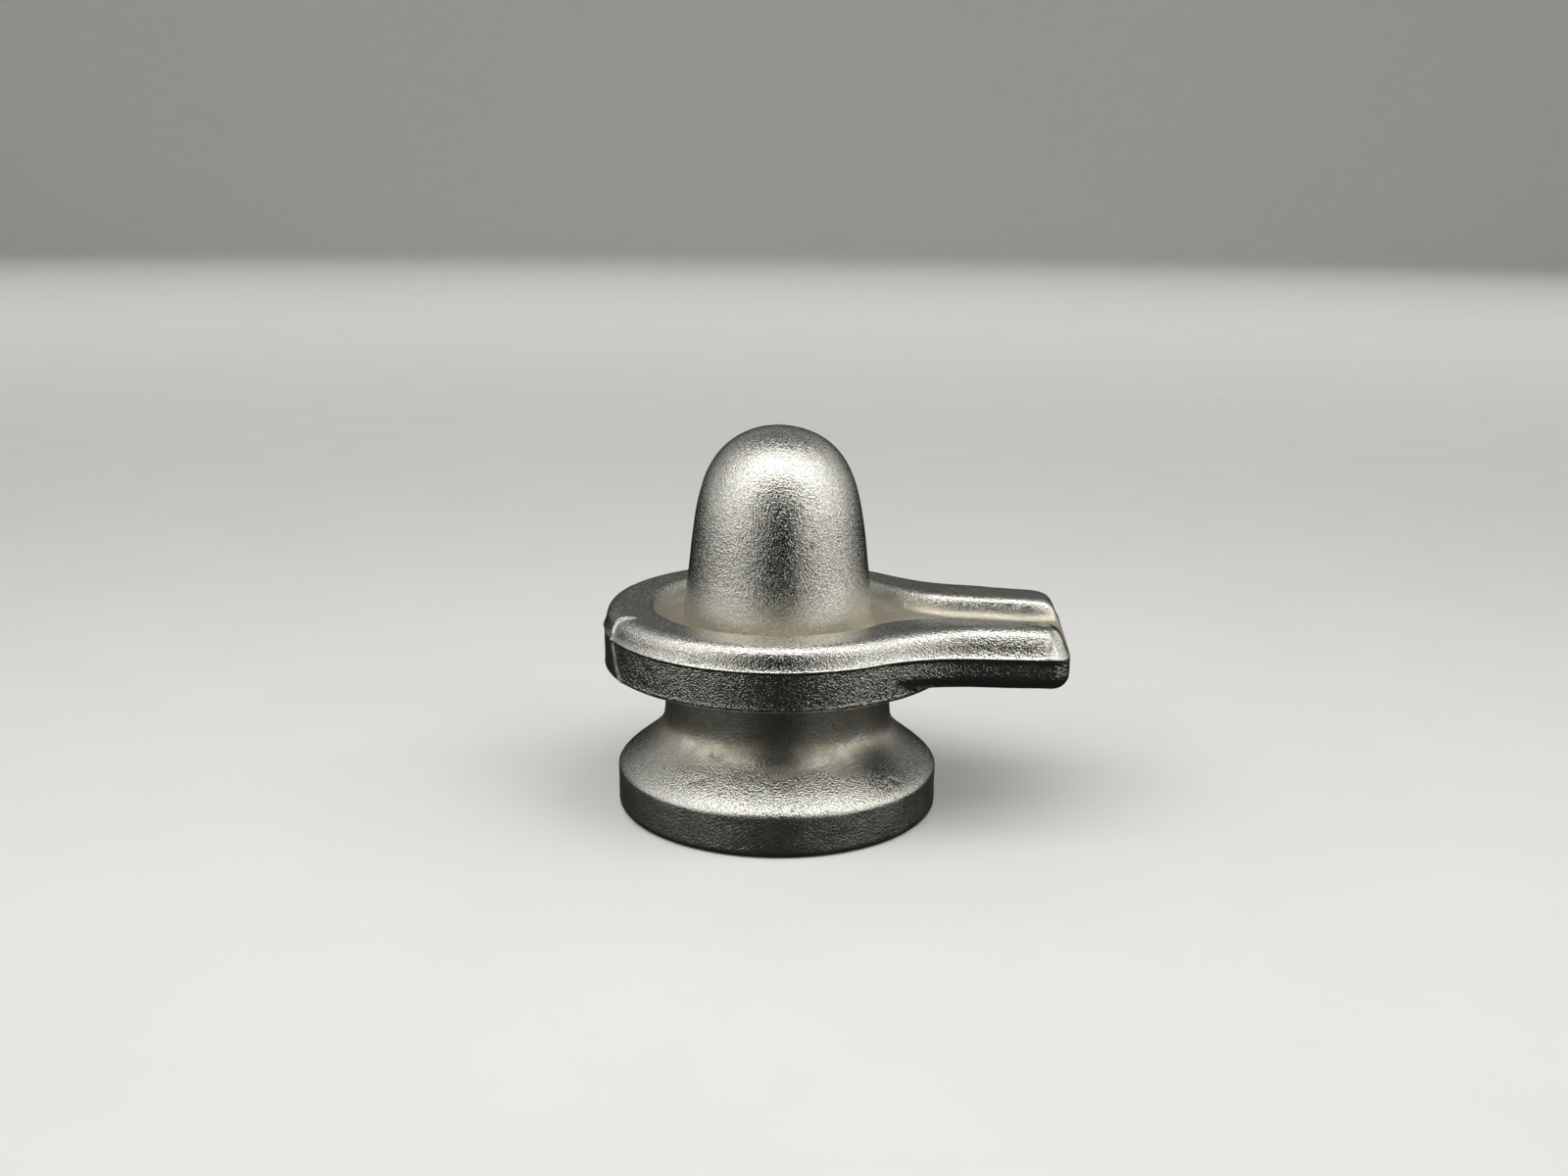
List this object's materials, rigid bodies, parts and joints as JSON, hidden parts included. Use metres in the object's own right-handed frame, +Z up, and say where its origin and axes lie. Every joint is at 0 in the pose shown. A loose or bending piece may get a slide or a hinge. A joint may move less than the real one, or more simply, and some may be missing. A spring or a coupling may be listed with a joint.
{
  "type": "shiva lingam",
  "caption": "Small cast white-metal shiva lingam: a domed shaft in the basin of a round, spouted base on a flared foot, for a home altar.",
  "frame": {"origin": "centre of the foot's flat underside, on the axis of foot, drum, basin and lingam", "axes": "+X along the spout, +Z up along the lingam, XZ is the plane of symmetry"},
  "size_m": [0.0455, 0.0346, 0.0381],
  "materials": {
    "cast_white_metal": "satin as-cast skin with a fine grain and a warm grey-brown tarnish in the hollows"
  },
  "bodies": {
    "root": {"shiva_lingam": "cast_white_metal"}
  },
  "joints": []
}
